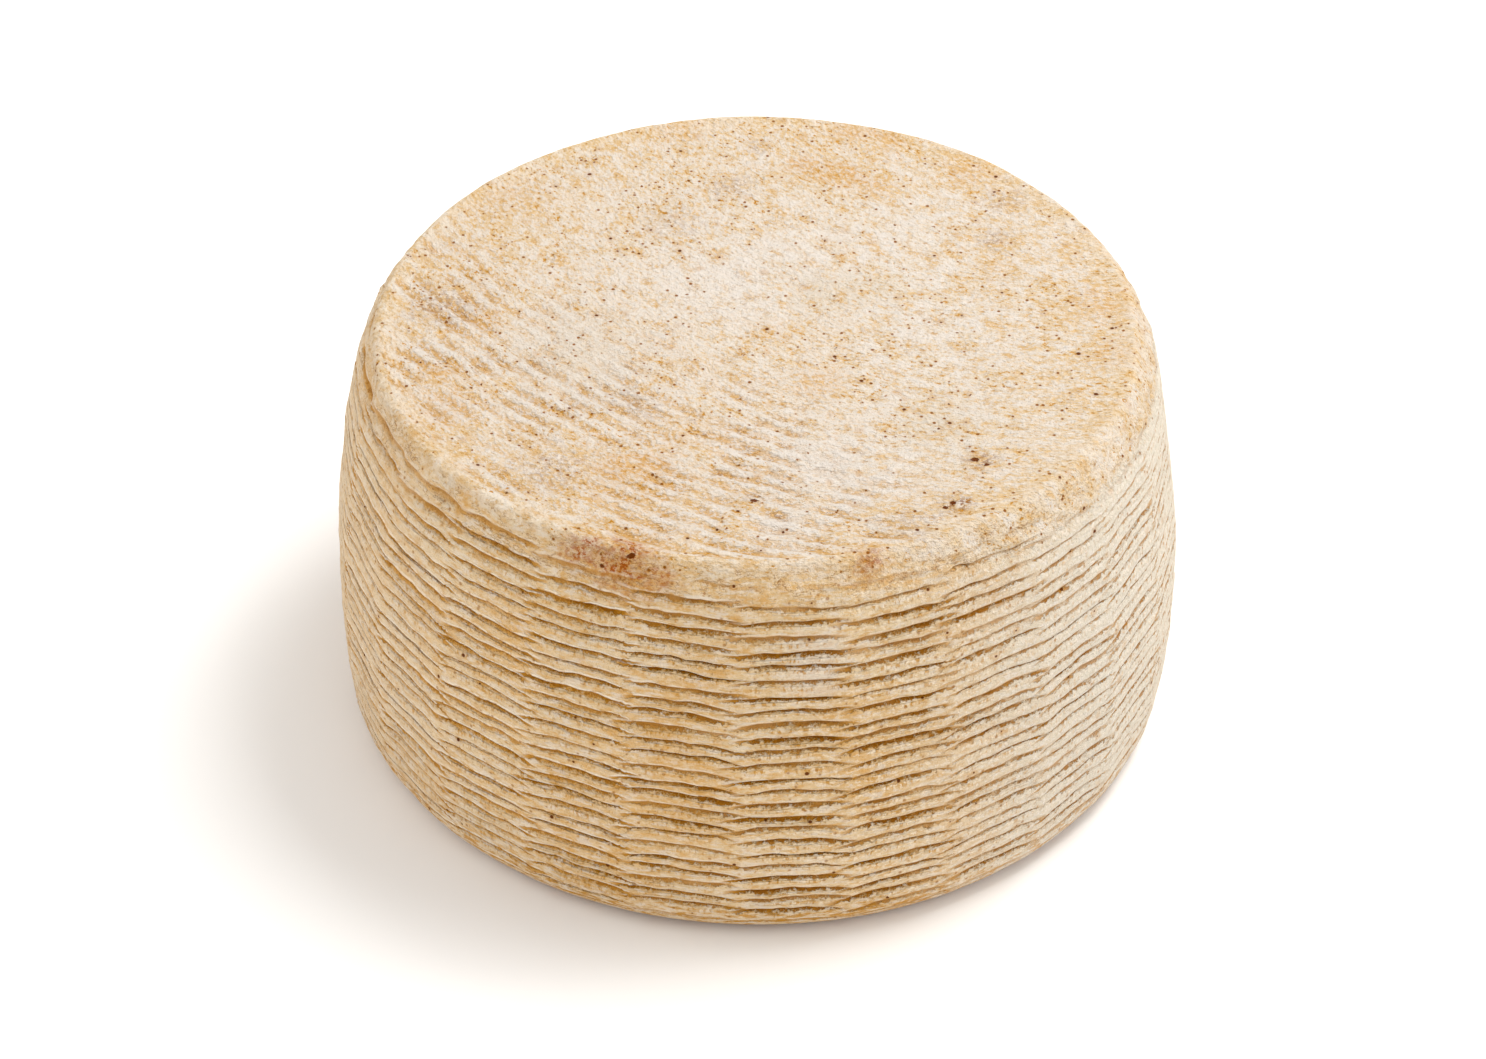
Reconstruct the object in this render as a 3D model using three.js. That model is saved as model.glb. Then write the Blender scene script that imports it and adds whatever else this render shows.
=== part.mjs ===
// A whole, uncut wheel of sheep's-milk cheese with the print of the basket it was pressed in.
// The wheel is one solid. It stands on its flat base, with its belly low on the side, a nearly
// flat top face and rounded edges. Upright panels run round the side, one for each gap between
// the stakes of the basket, and every panel carries a stack of level ridges, like laid siding.
// Sizes are millimetres. Z is up, and the origin is the centre of the base.

import * as THREE from 'three';

// ---- The body of the wheel ----
const bellyRadius = 90; // the widest radius
const bellyHeight = 23.5; // where the wheel is widest
const wheelHeight = 90.5;
const topTaper = 0.093; // share of the belly radius lost between the belly and the top face
const bottomTaper = 0.024; // share of it lost between the belly and the base
const rimHeight = 12; // rounded edge between the side and the top face
const rimWidth = 4;
const heelHeight = 7; // rounded edge between the side and the base
const heelWidth = 6.5;
const topSag = 0.5; // how far the middle of the top face has settled

// ---- The print of the basket ----
const panels = 25; // upright panels round the side
const stepsPerPanel = 3;
const firstSeamAngle = THREE.MathUtils.degToRad(8); // a seam between two panels, counted from +X
const grooves = 25; // level grooves from the rim down to the heel
const groovePitch = 3.3;
const firstGrooveHeight = 86;
const lipShare = 0.35; // each ridge stands proudest this share of the pitch under its groove
const grooveDepth = 1.1;
const seamDepthShare = 0.3; // share of that depth left where two panels meet
const panelHollow = 0.45; // how far the middle of a panel lies behind its seams
const panelArch = 0.5; // how far the grooves rise in the middle of a panel
const printFade = 9; // height over which the print dies out at the rim and at the heel

// ---- The unevenness of a hand-turned cheese ----
const swellingSize = 0.3; // broad, shallow swellings of the side
const wanderShare = 0.18; // how far a panel's grooves stray, as a share of the pitch

const circleSteps = panels * stepsPerPanel;

function smoothStep(from, to, value) {
  const t = THREE.MathUtils.clamp((value - from) / (to - from), 0, 1);
  return t * t * (3 - 2 * t);
}

// What is left of a unit width, share of the way up a quarter-round edge.
function roundingLoss(share) {
  const t = THREE.MathUtils.clamp(share, 0, 1);
  return 1 - Math.sqrt(1 - t * t);
}

// The radius of the smooth wheel at a height, as if the basket had left no print.
function plainRadius(height) {
  const rise = Math.max(height - bellyHeight, 0) / (wheelHeight - bellyHeight);
  const drop = Math.max(bellyHeight - height, 0) / bellyHeight;
  const side = bellyRadius * (1 - topTaper * rise * rise - bottomTaper * drop * drop);
  const rim = rimWidth * roundingLoss((height - wheelHeight + rimHeight) / rimHeight);
  const heel = heelWidth * roundingLoss((heelHeight - height) / heelHeight);
  return side - rim - heel;
}

// Broad swellings that keep the wheel from being a perfect turning.
function swelling(angle, height) {
  const high = height / wheelHeight;
  const twoSided = Math.sin(2 * angle + 0.8 + 1.1 * high);
  const threeSided = Math.sin(3 * angle - 1.2 - 0.7 * high);
  return swellingSize * (0.6 * twoSided + 0.4 * threeSided) - swellingSize;
}

// How strongly the basket has printed at a height: fully on the side, not at all on the edges.
function printStrength(height) {
  const underRim = smoothStep(0, printFade, wheelHeight - height);
  const overHeel = smoothStep(0, printFade, height);
  return Math.min(underRim, overHeel);
}

// Steps go round the wheel from the first seam.
function angleOf(step) {
  return firstSeamAngle + (2 * Math.PI * step) / circleSteps;
}

// 0 at the seams of a panel, 1 in its middle.
function panelMiddle(step) {
  return Math.sin((Math.PI * (step % stepsPerPanel)) / stepsPerPanel);
}

// The grooves of neighbouring panels miss each other by about half a pitch, as woven strands do.
function panelShift(panel) {
  const turn = (panel + panels) % panels;
  const over = turn % 2 === 0 ? 0.25 : -0.25;
  return groovePitch * (over + wanderShare * Math.sin(2.4 * turn));
}

// The height by which a ring is moved at an angle. At a seam it is halfway between its panels.
function ringShift(step) {
  const panel = Math.floor(step / stepsPerPanel);
  const onSeam = step % stepsPerPanel === 0;
  return onSeam ? (panelShift(panel - 1) + panelShift(panel)) / 2 : panelShift(panel);
}

// One ring of the side: its height and how deep it lies, from 0 on a ridge to 1 in a groove.
function sideRing(nominalHeight, depth) {
  return Array.from({ length: circleSteps }, (_, step) => {
    const angle = angleOf(step);
    const strength = printStrength(nominalHeight);
    const middle = panelMiddle(step);
    const height = nominalHeight + strength * (ringShift(step) + panelArch * middle);
    const depthShare = seamDepthShare + (1 - seamDepthShare) * middle;
    const hollow = strength * (grooveDepth * depth * depthShare + panelHollow * middle);
    const radius = plainRadius(height) + swelling(angle, height) - hollow;
    return new THREE.Vector3(radius * Math.cos(angle), radius * Math.sin(angle), height);
  });
}

// A smooth ring of the edges, or of the top face or base when it is given a smaller radius.
function smoothRing(height, inset = 1) {
  return Array.from({ length: circleSteps }, (_, step) => {
    const angle = angleOf(step);
    const radius = (plainRadius(height) + swelling(angle, height)) * inset;
    const sag = height === wheelHeight ? topSag * (1 - inset * inset) : 0;
    return new THREE.Vector3(radius * Math.cos(angle), radius * Math.sin(angle), height - sag);
  });
}

function heelRings() {
  return [0, 0.1, 0.35, 0.7].map((share) => smoothRing(share * heelHeight));
}

function ridgeRings() {
  const rings = [];
  for (let groove = grooves - 1; groove >= 0; groove -= 1) {
    const grooveHeight = firstGrooveHeight - groove * groovePitch;
    rings.push(sideRing(grooveHeight - lipShare * groovePitch, 0));
    rings.push(sideRing(grooveHeight, 1));
  }
  return rings;
}

function rimRings() {
  const shares = [0.78, 0.92, 1];
  return shares.map((share) => smoothRing(wheelHeight - rimHeight * (1 - share)));
}

function topFaceRings() {
  return [0.7, 0.35].map((inset) => smoothRing(wheelHeight, inset));
}

// Joins a stack of rings, base first, into one closed skin with a point in the middle of the
// base and one in the middle of the top face.
function skinOf(rings) {
  const positions = [];
  for (const point of rings.flat()) {
    positions.push(point.x, point.y, point.z);
  }
  const baseCentre = rings.length * circleSteps;
  const topCentre = baseCentre + 1;
  positions.push(0, 0, 0);
  positions.push(0, 0, wheelHeight - topSag);

  const triangles = [];
  const topRing = (rings.length - 1) * circleSteps;
  for (let step = 0; step < circleSteps; step += 1) {
    const next = (step + 1) % circleSteps;
    triangles.push(baseCentre, next, step);
    triangles.push(topCentre, topRing + step, topRing + next);
    for (let ring = 0; ring + 1 < rings.length; ring += 1) {
      const low = ring * circleSteps;
      const high = low + circleSteps;
      triangles.push(low + step, low + next, high + next);
      triangles.push(low + step, high + next, high + step);
    }
  }

  const geometry = new THREE.BufferGeometry();
  geometry.setAttribute('position', new THREE.Float32BufferAttribute(positions, 3));
  geometry.setIndex(triangles);
  geometry.computeVertexNormals();
  return geometry;
}

function cheeseWheel() {
  const rings = [...heelRings(), ...ridgeRings(), ...rimRings(), ...topFaceRings()];
  const rind = new THREE.MeshStandardMaterial({ color: 0xe0c8a0, roughness: 0.85, metalness: 0 });
  const wheel = new THREE.Mesh(skinOf(rings), rind);
  wheel.name = 'cheese_wheel';
  return wheel;
}

const part = new THREE.Group();
part.add(cheeseWheel());

export default part;
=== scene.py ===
"""A whole wheel of sheep's-milk cheese with a basket print, on a pale studio floor.

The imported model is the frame. One closed, displaced mesh stands for its single solid: the same
wheel with every groove, lip, hollow and dent of the print worked out point by point. Sizes are in
millimetres until the mesh is made, and Blender's own units are metres.
"""

import math

import bpy
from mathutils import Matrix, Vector, noise


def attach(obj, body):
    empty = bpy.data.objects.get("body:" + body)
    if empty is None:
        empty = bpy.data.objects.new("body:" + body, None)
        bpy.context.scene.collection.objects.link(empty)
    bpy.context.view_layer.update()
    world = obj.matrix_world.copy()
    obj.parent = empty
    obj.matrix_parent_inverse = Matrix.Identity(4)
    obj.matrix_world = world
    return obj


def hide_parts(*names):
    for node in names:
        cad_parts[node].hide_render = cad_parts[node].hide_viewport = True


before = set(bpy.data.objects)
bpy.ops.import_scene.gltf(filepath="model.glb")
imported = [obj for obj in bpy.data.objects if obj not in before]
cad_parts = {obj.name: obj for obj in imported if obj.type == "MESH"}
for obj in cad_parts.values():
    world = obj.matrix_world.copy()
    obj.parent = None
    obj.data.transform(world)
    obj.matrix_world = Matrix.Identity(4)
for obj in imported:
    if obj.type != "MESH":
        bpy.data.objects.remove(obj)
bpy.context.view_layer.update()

MM = 0.001

# ---- The body of the wheel, as in the solid ----
BELLY_RADIUS = 90.0
BELLY_HEIGHT = 23.5
WHEEL_HEIGHT = 90.5
TOP_TAPER = 0.093
BOTTOM_TAPER = 0.024
RIM_HEIGHT = 12.0
RIM_WIDTH = 4.0
HEEL_HEIGHT = 7.0
HEEL_WIDTH = 6.5
TOP_SAG = 0.5
SWELLING = 0.3
SKIN_INSET = 0.12  # keeps the fine skin inside the box of the solid

# ---- The print of the basket on the side ----
PANELS = 25
COLUMNS_PER_PANEL = 15
COLUMNS = PANELS * COLUMNS_PER_PANEL
COLUMN_WIDTH = 2 * math.pi * BELLY_RADIUS / COLUMNS
FIRST_SEAM = math.radians(8)
GROOVES = 25
PITCH = 3.27
FIRST_GROOVE = 86.2
ROUND_DEPTH, LAPPED_DEPTH = 0.72, 1.0  # how deep a groove is, also where the ridges overlap
PANEL_HOLLOW = 0.3  # how far the middle of a panel lies behind its seams
RIM_FADE = 9.0  # the print dies out this far under the top face
HEEL_FADE = 9.0  # and this far over the base
ARCH = 0.8  # how far a groove rises in the middle of a panel, low on the side
ARCH_TOP, ARCH_FULL = 76.0, 46.0  # heights at which the grooves begin to arch, and arch fully
SLANT = 0.5  # how far a panel's grooves may climb from one seam to the next
# How far each panel's grooves are shifted, in pitches. Panel 13 is at the left of the view.
SEEN_SHIFTS = {
    13: 0.37, 14: 0.15, 15: 0.52, 16: 0.0, 17: 0.7,
    18: 0.34, 19: 0.1, 20: 0.66, 21: 0.34, 22: 0.86,
}
MIDDLE_SHIFT = 0.4  # taken off every shift, so that they lie about evenly round none
# Going down, a ridge rolls over into a groove, and the groove slopes out again. At the left the
# ridges overlap like laid siding: they end in a sharp crest, and the grooves slope out slowly.
RING_SHARES = (0.0, 0.05, 0.11, 0.18, 0.34, 0.57, 0.82, 0.92)  # of one ridge, from its groove down
ROUND_CREST, SHARP_CREST = 0.84, 0.92  # where a ridge starts to roll over, in pitches
NARROW_GROOVE = 0.1  # height of a groove at its thin ends, in pitches
OPEN_GROOVE = 0.15  # and in the middle of its panel
LAPPED_GROOVE = 0.44  # and where the ridges overlap
LINE_END, LINE_FULL = -3.2, 0.6  # a groove is a thin line from past the seam of its panel
OPEN_END, OPEN_FULL = -0.6, 5.5  # and opens further inside it
LINE_DEPTH = 0.4  # share of its depth that a groove has where it is a thin line
ROLL_POWER, SLOPE_POWER = 1.7, 1.3  # how a ridge rolls over, and how its groove slopes out
THIN_OPEN = 0.7  # how far thin grooves open, as a share
THIN_ROUNDING = 0.35  # share of a thin groove's depth by which its lower edge is rounded
STRAY_END = 1.5  # how far the end of a groove may lie from where the others end
NEIGHBOUR_REACH = STRAY_END - LINE_END  # how far a neighbour's grooves may reach over the seam

# ---- Where the print changes round the side: the x at which a trait sets in, and is full ----
LAPPED = (0, -50)  # the ridges overlap
RUCKED = (-10, -50)  # the print runs up to the rim
LEFT = (-15, -85)  # the print is a little shallower at the left
THIN = (20, 60)  # the grooves are narrow, with a rounded edge
RIGHT = (35, 82)  # the print is worn at the right
LEFT_KEPT, RIGHT_KEPT = 0.85, 0.75  # what is left of the depth at the left and at the right
LINE_KEPT = 0.95  # and of the dark line in a groove, at either
RUCKED_FADE = 5.5  # the print dies out this far under the top face where it runs up to the rim
WORN_FROM, RIGHT_WORN_FROM, WORN_FULL = 81.0, 70.0, 85.5  # heights at which the rim's wear sets in
LEDGES = (80.0, 84.0, 88.0)  # small ledges set in, are full, and begin to die out at these heights

# ---- The top face ----
TOP_PITCH = 4.4
TOP_DEPTH = 0.85
TOP_RING_STEP = 0.95
TOP_POINT_STEP = 1.35
TOP_TURN = 40.0  # the ridges of the top face are turned by this many degrees
TOP_SINE, TOP_COSINE = 0.643, 0.766  # of that turn
LEFT_BEND, RIGHT_BEND = 0.0016, 0.004  # a ridge bends by this times its squared distance along
BEND_REACH = 20.0  # the one bend passes into the other within this distance of the middle


# ---------------------------------------------------------------- shape of the wheel


def clamp(value, low=0.0, high=1.0):
    return max(low, min(high, value))


def smooth_step(start, end, value):
    t = clamp((value - start) / (end - start))
    return t * t * (3 - 2 * t)


def mix(a, b, share):
    return a + (b - a) * share


def grain(x, y, z, size):
    """Smooth noise from about -1 to 1, with lumps of about this size."""
    return noise.noise(Vector((x / size, y / size, z / size)))


def rounding_loss(share):
    t = clamp(share)
    return 1 - math.sqrt(1 - t * t)


def plain_radius(height):
    rise = max(height - BELLY_HEIGHT, 0) / (WHEEL_HEIGHT - BELLY_HEIGHT)
    drop = max(BELLY_HEIGHT - height, 0) / BELLY_HEIGHT
    side = BELLY_RADIUS * (1 - TOP_TAPER * rise * rise - BOTTOM_TAPER * drop * drop)
    rim = RIM_WIDTH * rounding_loss((height - WHEEL_HEIGHT + RIM_HEIGHT) / RIM_HEIGHT)
    heel = HEEL_WIDTH * rounding_loss((HEEL_HEIGHT - height) / HEEL_HEIGHT)
    return side - rim - heel


def swelling(angle, height):
    high = height / WHEEL_HEIGHT
    two_sided = math.sin(2 * angle + 0.8 + 1.1 * high)
    three_sided = math.sin(3 * angle - 1.2 - 0.7 * high)
    return SWELLING * (0.6 * two_sided + 0.4 * three_sided) - SWELLING


def print_strength(height, rim_fade=RIM_FADE):
    under_rim = smooth_step(0, rim_fade, WHEEL_HEIGHT - height)
    over_heel = smooth_step(0, HEEL_FADE, height)
    return min(under_rim, over_heel)


# ---------------------------------------------------------------- print on the side
# The sines here have periods that don't fit together, so that no two rows or panels are alike.


def panel_shift(panel):
    """The shift of a panel's grooves, in pitches. Hidden panels miss their neighbours by half a pitch."""
    turn = panel % PANELS
    hidden = 0.5 * (turn % 2) + 0.2 * math.sin(2.4 * turn)
    return SEEN_SHIFTS.get(turn, hidden) - MIDDLE_SHIFT


def row_of(nominal):
    """Rows count down from the first groove: a whole number is a groove."""
    return (FIRST_GROOVE - nominal) / PITCH


def groove_offset(panel, across, angle, nominal):
    """How far a groove line lies from its nominal height. Across is 0 and 1 at the two seams."""
    turn = panel % PANELS
    row = row_of(nominal)
    stray = 0.3 * math.sin(2.1 * row + 1.9 * turn) + 0.2 * math.sin(5.3 * row + 0.7 * turn)
    arch = ARCH * smooth_step(ARCH_TOP, ARCH_FULL, nominal) * (0.7 - abs(2 * across - 1) ** 2.6)
    climb = math.sin(1.7 * turn + 0.5) + 0.7 * math.sin(3.3 * row + 2.9 * turn)
    slant = SLANT * climb * (across - 0.5)
    x, y = BELLY_RADIUS * math.cos(angle), BELLY_RADIUS * math.sin(angle)
    wave = 0.45 * grain(x, y, nominal * 1.6 + 40, 8.0) + 0.4 * grain(x, y, nominal * 1.8, 3.8)
    return print_strength(nominal) * (PITCH * panel_shift(panel) + stray + arch + slant + wave)


def nominal_at(panel, across, angle, height):
    """The nominal height of what a panel has at a height: groove_offset turned round."""
    nominal = height
    for _ in range(3):
        nominal = height - groove_offset(panel, across, angle, nominal)
    return nominal


class Groove:
    """How a panel's grooves show at a row and a distance inside (or, below 0, outside) its seam."""

    def __init__(self, panel, row, from_seam, side, lap, thin):
        number = round(row)
        turn = panel % PANELS
        end = STRAY_END * math.sin(7.7 * number + 3.1 * turn + 2.2 * side)
        power = 0.85 + 0.15 * math.sin(4.1 * number + 2.7 * turn)
        self.row = row
        self.lap = lap
        self.rounding = THIN_ROUNDING * thin
        self.line = power * smooth_step(LINE_END, LINE_FULL, from_seam + end)
        self.open = smooth_step(OPEN_END, OPEN_FULL, from_seam + end) * mix(1.0, THIN_OPEN, thin)

    def depth(self):
        """0 on a ridge, 1 in the deepest groove."""
        u = self.row % 1.0
        deepest = self.line * mix(LINE_DEPTH, 1.0, self.open)
        crest = mix(ROUND_CREST, SHARP_CREST, self.lap)
        if u > crest:
            return deepest * ((u - crest) / (1 - crest)) ** mix(ROLL_POWER, 1.0, self.lap)
        wide = mix(OPEN_GROOVE, LAPPED_GROOVE, self.lap)
        share = clamp(1 - u / mix(NARROW_GROOVE, wide, self.open))
        rounded = self.rounding * smooth_step(0.5, 0, u)
        return deepest * max(share ** SLOPE_POWER, rounded)


def print_kept(x, y, nominal, left, right):
    """What wear has left of the print, from 0 to 1. It is worn under the rim, most at the right."""
    flank = mix(1.0, LEFT_KEPT, left) * mix(1.0, RIGHT_KEPT, right)
    rim = clamp(0.6 + 1.8 * grain(x, y, nominal, 9.0)) * mix(1.0, 0.4, right)
    rim = mix(0.8 * rim, 0.75, smooth_step(*RUCKED, x))
    return flank * mix(1.0, rim, smooth_step(mix(WORN_FROM, RIGHT_WORN_FROM, right), WORN_FULL, nominal))


def side_lumps(x, y, height):
    """Shallow dents of the side, and the small ledges just under the top face."""
    start, full, end = LEDGES
    dents = 0.35 * grain(x, y, height, 17.0) + 0.2 * grain(x, y, height, 4.0) - 0.3
    ledges = 0.8 * grain(x * 0.35, y * 0.35, height * 1.2, 2.0) - 0.3
    ledges = ledges * smooth_step(start, full, height) * smooth_step(WHEEL_HEIGHT, end, height)
    return (min(dents, 0) + ledges) * smooth_step(0, 6, height)


class PrintPoint:
    """One point of the side: its height, its radius and what its shader needs to know."""

    def __init__(self, column, nominal, panel):
        self.angle = FIRST_SEAM + 2 * math.pi * column / COLUMNS
        self.x = BELLY_RADIUS * math.cos(self.angle)
        self.y = BELLY_RADIUS * math.sin(self.angle)
        self.nominal = nominal
        self.panel = panel
        self.across = (column - panel * COLUMNS_PER_PANEL) / COLUMNS_PER_PANEL
        self.side = -1 if self.across < 0.5 else 1  # the nearer neighbour is the panel on this side
        self.from_seam = min(self.across, 1 - self.across) * COLUMNS_PER_PANEL * COLUMN_WIDTH
        self.find_rows()
        self.press()

    def find_rows(self):
        """Finds the height, and on which row of its panel and of the neighbour's the point lies."""
        own = (self.panel, self.across, self.angle)
        near = (self.panel + self.side, self.across - self.side, self.angle)
        self.height = self.nominal + groove_offset(*own, self.nominal)
        self.own_row = row_of(self.nominal)
        if self.from_seam < 0.5 * COLUMN_WIDTH:  # on the seam, so halfway between the two panels
            near_height = self.nominal + groove_offset(*near, self.nominal)
            self.height = mix(near_height, self.height, 0.5)
            self.own_row = row_of(nominal_at(*own, self.height))
        self.near_row = self.own_row + 0.5
        if self.from_seam < NEIGHBOUR_REACH:
            self.near_row = row_of(nominal_at(*near, self.height))

    def press(self):
        """Finds the radius, and how clearly and how widely the grooves show."""
        x, y = self.x, self.y
        left, right = smooth_step(*LEFT, x), smooth_step(*RIGHT, x)
        lap, thin = smooth_step(*LAPPED, x), smooth_step(*THIN, x)
        own = Groove(self.panel, self.own_row, self.from_seam, self.side, lap, thin)
        near = Groove(self.panel + self.side, self.near_row, -self.from_seam, -self.side, lap, thin)

        uneven = 0.92 + 0.6 * grain(x, y, self.height * 1.5, 14.0) + 0.3 * grain(x, y, self.height * 2, 5.0)
        strength = print_strength(self.nominal, mix(RIM_FADE, RUCKED_FADE, smooth_step(*RUCKED, x)))
        kept = print_kept(x, y, self.nominal, left, right)
        shown = kept * strength * clamp(0.35 + 0.7 * uneven)
        shown = shown * mix(1.0, LINE_KEPT, left) * mix(1.0, LINE_KEPT, right)
        self.rows = (self.own_row, self.near_row, 0.0)
        self.lines = (shown * own.line, shown * near.line, 0.0)
        self.opens = (own.open, near.open, 0.0)

        cut = max(own.depth(), near.depth())
        groove = mix(ROUND_DEPTH, LAPPED_DEPTH, lap) * kept * clamp(uneven, 0.2, 1.35) * cut
        hollow = strength * (groove + PANEL_HOLLOW * math.sin(math.pi * self.across))
        plain = plain_radius(self.height) + swelling(self.angle, self.height) - SKIN_INSET
        self.radius = plain - hollow + side_lumps(x, y, self.height)

    def place(self):
        return (self.radius * math.cos(self.angle), self.radius * math.sin(self.angle), self.height)


def side_nominals():
    """The nominal heights of the rings of the side, from the base up to the edge of the top face."""
    clear = 0.3  # two rings lie at least this far apart
    turns = (90, 80, 70, 60, 50, 40, 30)
    heel = [HEEL_HEIGHT * (1 - math.sin(math.radians(turn))) for turn in turns]
    low = FIRST_GROOVE - (GROOVES - 1) * PITCH
    heel = [height for height in heel if height < low - 0.4 * PITCH - clear]
    ridges = []
    for groove in range(GROOVES):
        for share in RING_SHARES:
            ridges.append(FIRST_GROOVE - (groove + share) * PITCH)
    ridges = [height for height in ridges if height > heel[-1] + clear]
    crown = (0.78, 0.86, 0.9, 0.935, 0.96, 0.98, 0.993, 1.0)
    rim = [WHEEL_HEIGHT - RIM_HEIGHT * (1 - share) for share in crown]
    rim = [height for height in rim if height > FIRST_GROOVE + clear]
    return heel + sorted(ridges) + rim


# ---------------------------------------------------------------- top face


def across_ridges(x, y):
    """How far a point of the top face lies towards the front left."""
    return -(TOP_SINE * x + TOP_COSINE * y)


def top_row(x, y):
    """Which ridge of the top face a point is on. They curve, as the rim at the front left does."""
    straight = across_ridges(x, y)
    beside = TOP_COSINE * x - TOP_SINE * y
    curve = beside * beside * mix(LEFT_BEND, RIGHT_BEND, smooth_step(-BEND_REACH, BEND_REACH, beside))
    wave = 1.3 * grain(x, y, 3.0, 13.0) + 0.6 * grain(x, y, 9.0, 5.0)
    return (straight + curve + wave) / TOP_PITCH


def top_strength(x, y):
    """How clearly the ridges of the top face show, from 0 to 1. They are clear at the front left."""
    front_left = smooth_step(0, 36, across_ridges(x, y)) * smooth_step(60, 20, x)
    patchy = clamp(1.0 + 1.2 * grain(x, y, 21.0, 15.0))
    broken = clamp(0.8 + 1.5 * grain(x, y, 33.0, 8.0))
    return max(front_left, 0.1) * patchy * broken * smooth_step(82, 77, math.hypot(x, y))


def top_relief(x, y):
    """How high the top face lies over its plain, sagging form. It is below 0 in the main."""
    u = top_row(x, y) % 1.0
    cut = smooth_step(0.6, 0, u) if u < 0.6 else smooth_step(0.6, 1, u)
    ridge = TOP_DEPTH * top_strength(x, y) * cut
    lumps = 0.22 * grain(x, y, 1.0, 9.0) + 0.24 * grain(x, y, 5.0, 3.4)
    return -ridge - 0.3 + lumps


# ---------------------------------------------------------------- mesh


def joined_rings(outer, inner, outer_angles, inner_angles):
    """Triangles between two closed rings of points with any two counts, outer ring first."""
    faces = []
    i = j = 0
    n, m = len(outer), len(inner)
    while i < n or j < m:
        next_outer = outer_angles[(i + 1) % n] + 2 * math.pi * ((i + 1) // n)
        next_inner = inner_angles[(j + 1) % m] + 2 * math.pi * ((j + 1) // m)
        if j >= m or (i < n and next_outer <= next_inner):
            faces.append((outer[i % n], outer[(i + 1) % n], inner[j % m]))
            i += 1
        else:
            faces.append((outer[i % n], inner[(j + 1) % m], inner[j % m]))
            j += 1
    return faces


class Skin:
    """Collects the points and faces of the wheel, with the values that each face corner carries."""

    def __init__(self):
        self.points = []
        self.faces = []
        self.rows = []  # own and near row of the side, and the row of the top face
        self.lines = []  # how clearly those grooves show
        self.opens = []  # how wide own and near groove are, from 0 to 1
        self.places = []  # where the corner lies on the baked picture

    def add_point(self, place):
        self.points.append(place)
        return len(self.points) - 1

    def add_face(self, corners, rows, lines, opens, places):
        self.faces.append(corners)
        self.rows.extend(rows)
        self.lines.extend(lines)
        self.opens.extend(opens)
        self.places.extend(places)


# ---- The baked picture: two strips for the side, and over them a disc each for top and base ----
STRIP_PANELS = 13  # panels on the first strip
STRIP_MARGIN, STRIP_LENGTH = 0.01, 0.98
STRIP_STEP, STRIP_HEIGHT = 0.295, 0.28
TOP_DISC, BASE_DISC = 0.21, 0.63  # how far to the right the discs lie
DISC_HEIGHT = 0.8
DISC_SCALE = 0.19 / 84  # of the picture, for each millimetre


def strip_place(panel, column, ring_share):
    """Where a point of the side lies on the baked picture."""
    strip = panel // STRIP_PANELS
    along = (column - strip * STRIP_PANELS * COLUMNS_PER_PANEL) / (STRIP_PANELS * COLUMNS_PER_PANEL)
    right = STRIP_MARGIN + STRIP_LENGTH * along
    return (right, STRIP_MARGIN + STRIP_STEP * strip + STRIP_HEIGHT * ring_share)


def disc_place(x, y, centre):
    return (centre + DISC_SCALE * x, DISC_HEIGHT + DISC_SCALE * y)


def side_rings(skin):
    """The points of the side, ring by ring. A point on a seam also knows the panel before it."""
    rings = []
    for nominal in side_nominals():
        ring = []
        for column in range(COLUMNS):
            point = PrintPoint(column, nominal, column // COLUMNS_PER_PANEL)
            point.number = skin.add_point(point.place())
            if column % COLUMNS_PER_PANEL == 0:
                before = (column // COLUMNS_PER_PANEL - 1) % PANELS
                point.closing = PrintPoint((before + 1) * COLUMNS_PER_PANEL, nominal, before)
            ring.append(point)
        rings.append(ring)
    return rings


def add_side(skin):
    """The side, heel and rim. Gives the point numbers of its lowest and its highest ring."""
    rings = side_rings(skin)
    steps = len(rings) - 1
    for low in range(steps):
        for column in range(COLUMNS):
            panel = column // COLUMNS_PER_PANEL
            closes = (column + 1) % COLUMNS_PER_PANEL == 0  # the next column is the panel's far seam
            after = (column + 1) % COLUMNS
            numbers, told, places = [], [], []
            for ring, step in ((low, 0), (low, 1), (low + 1, 1), (low + 1, 0)):
                point = rings[ring][after if step else column]
                numbers.append(point.number)
                told.append(point.closing if step and closes else point)
                places.append(strip_place(panel, column + step, ring / steps))
            rows = [point.rows for point in told]
            lines = [point.lines for point in told]
            opens = [point.opens for point in told]
            skin.add_face(numbers, rows, lines, opens, places)
    return [point.number for point in rings[0]], [point.number for point in rings[-1]]


def add_disc_faces(skin, faces, centre, told):
    """Faces of the top or base. Told is a function: a place's row, and how clearly its ridge shows."""
    for face in faces:
        rows, lines, places = [], [], []
        for number in face:
            x, y, _ = skin.points[number]
            row, strength = told(x, y)
            rows.append((0.5, 0.5, row))
            lines.append((0.0, 0.0, strength))
            places.append(disc_place(x, y, centre))
        opens = [(0.0, 0.0, 0.0)] * len(face)
        skin.add_face(face, rows, lines, opens, places)


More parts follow.
